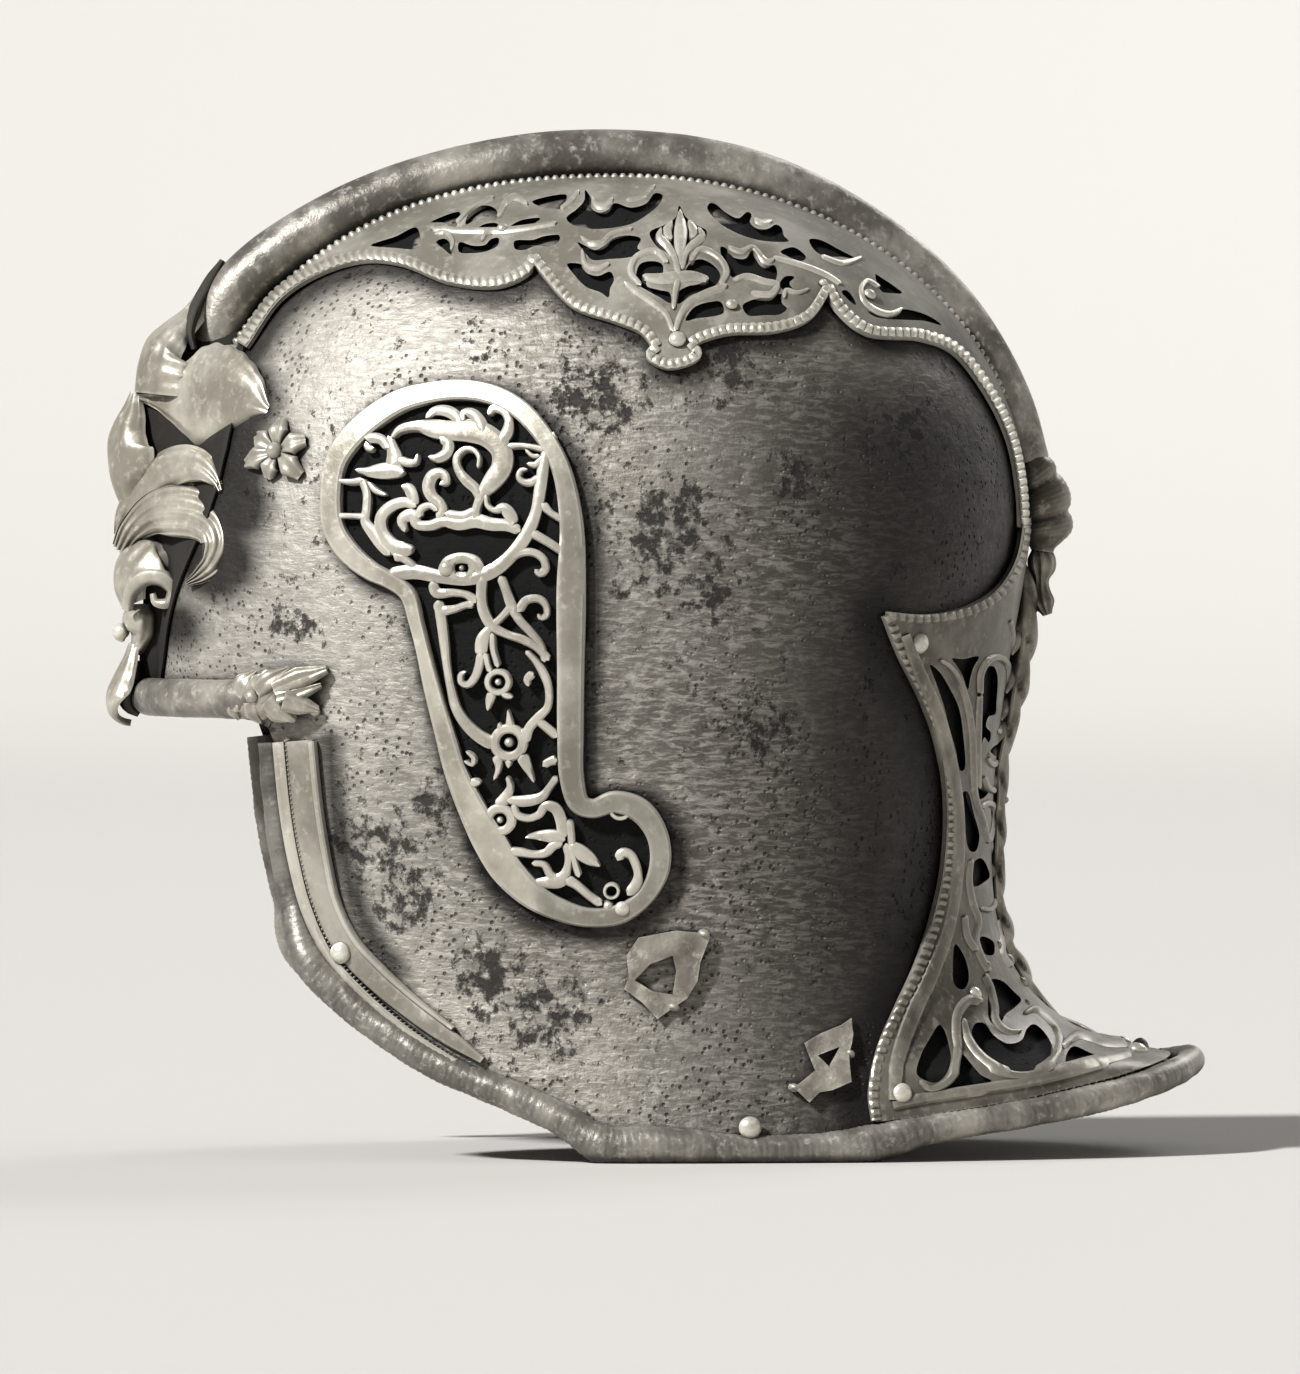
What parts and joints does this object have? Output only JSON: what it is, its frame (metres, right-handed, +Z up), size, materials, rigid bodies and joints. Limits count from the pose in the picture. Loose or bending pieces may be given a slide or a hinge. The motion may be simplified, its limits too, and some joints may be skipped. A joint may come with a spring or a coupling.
{
  "type": "morion helmet",
  "caption": "Open iron helmet with cheeks and swept nape, tubular comb, pierced crown, side and nape plates, and a cast leaf mount over the brow.",
  "frame": {"origin": "on the surface under the helmet, below the middle of its box", "axes": "+Z up, -Y out of the face opening, +X towards the wearer's left"},
  "size_m": [0.2004, 0.3148, 0.2916],
  "materials": {
    "skull_iron": "dark, pitted, tarnished wrought iron",
    "rolled_iron": "handled iron with dull polish on the high places",
    "mount_metal": "pale worn gilt metal with blackened ground",
    "nape_metal": "darker tarnished gilt metal",
    "rivet_metal": "bright round rivet heads",
    "torn_metal": "torn remnants of sheet mounts"
  },
  "bodies": {
    "root": {"brow_boss": "mount_metal", "brow_button": "rivet_metal", "brow_leaf_left": "mount_metal", "brow_leaf_right": "mount_metal", "brow_petal_left": "mount_metal", "brow_petal_right": "mount_metal", "brow_roll": "rolled_iron", "brow_tongue": "mount_metal", "cheek_band_left": "mount_metal", "cheek_band_right": "mount_metal", "cheek_rivet_left": "rivet_metal", "cheek_rivet_right": "rivet_metal", "comb": "rolled_iron", "comb_knot": "mount_metal", "crest_leaf": "mount_metal", "crown_plate_left": "mount_metal", "crown_plate_right": "mount_metal", "crown_rivet_left": "rivet_metal", "crown_rivet_right": "rivet_metal", "foot_leaf": "mount_metal", "keel_petal": "mount_metal", "knot_tassel": "mount_metal", "lower_horn_left": "mount_metal", "lower_horn_right": "mount_metal", "mount_core": "mount_metal", "nape_lower_rivet_left": "rivet_metal", "nape_lower_rivet_right": "rivet_metal", "nape_middle_rivet_left": "rivet_metal", "nape_middle_rivet_right": "rivet_metal", "nape_plate": "nape_metal", "nape_spine": "nape_metal", "nape_upper_rivet_left": "rivet_metal", "nape_upper_rivet_right": "rivet_metal", "plaque_lower_rivet_left": "rivet_metal", "plaque_lower_rivet_right": "rivet_metal", "plaque_upper_rivet_left": "rivet_metal", "plaque_upper_rivet_right": "rivet_metal", "rim_rivet_left": "rivet_metal", "rim_rivet_right": "rivet_metal", "rim_roll": "rolled_iron", "rosette_left": "mount_metal", "rosette_right": "mount_metal", "side_plaque_left": "mount_metal", "side_plaque_right": "mount_metal", "skull": "skull_iron", "tail_rivet_left": "rivet_metal", "tail_rivet_right": "rivet_metal", "torn_mount_back": "torn_metal", "torn_mount_front": "torn_metal", "upper_horn_left": "mount_metal", "upper_horn_right": "mount_metal"}
  },
  "joints": []
}
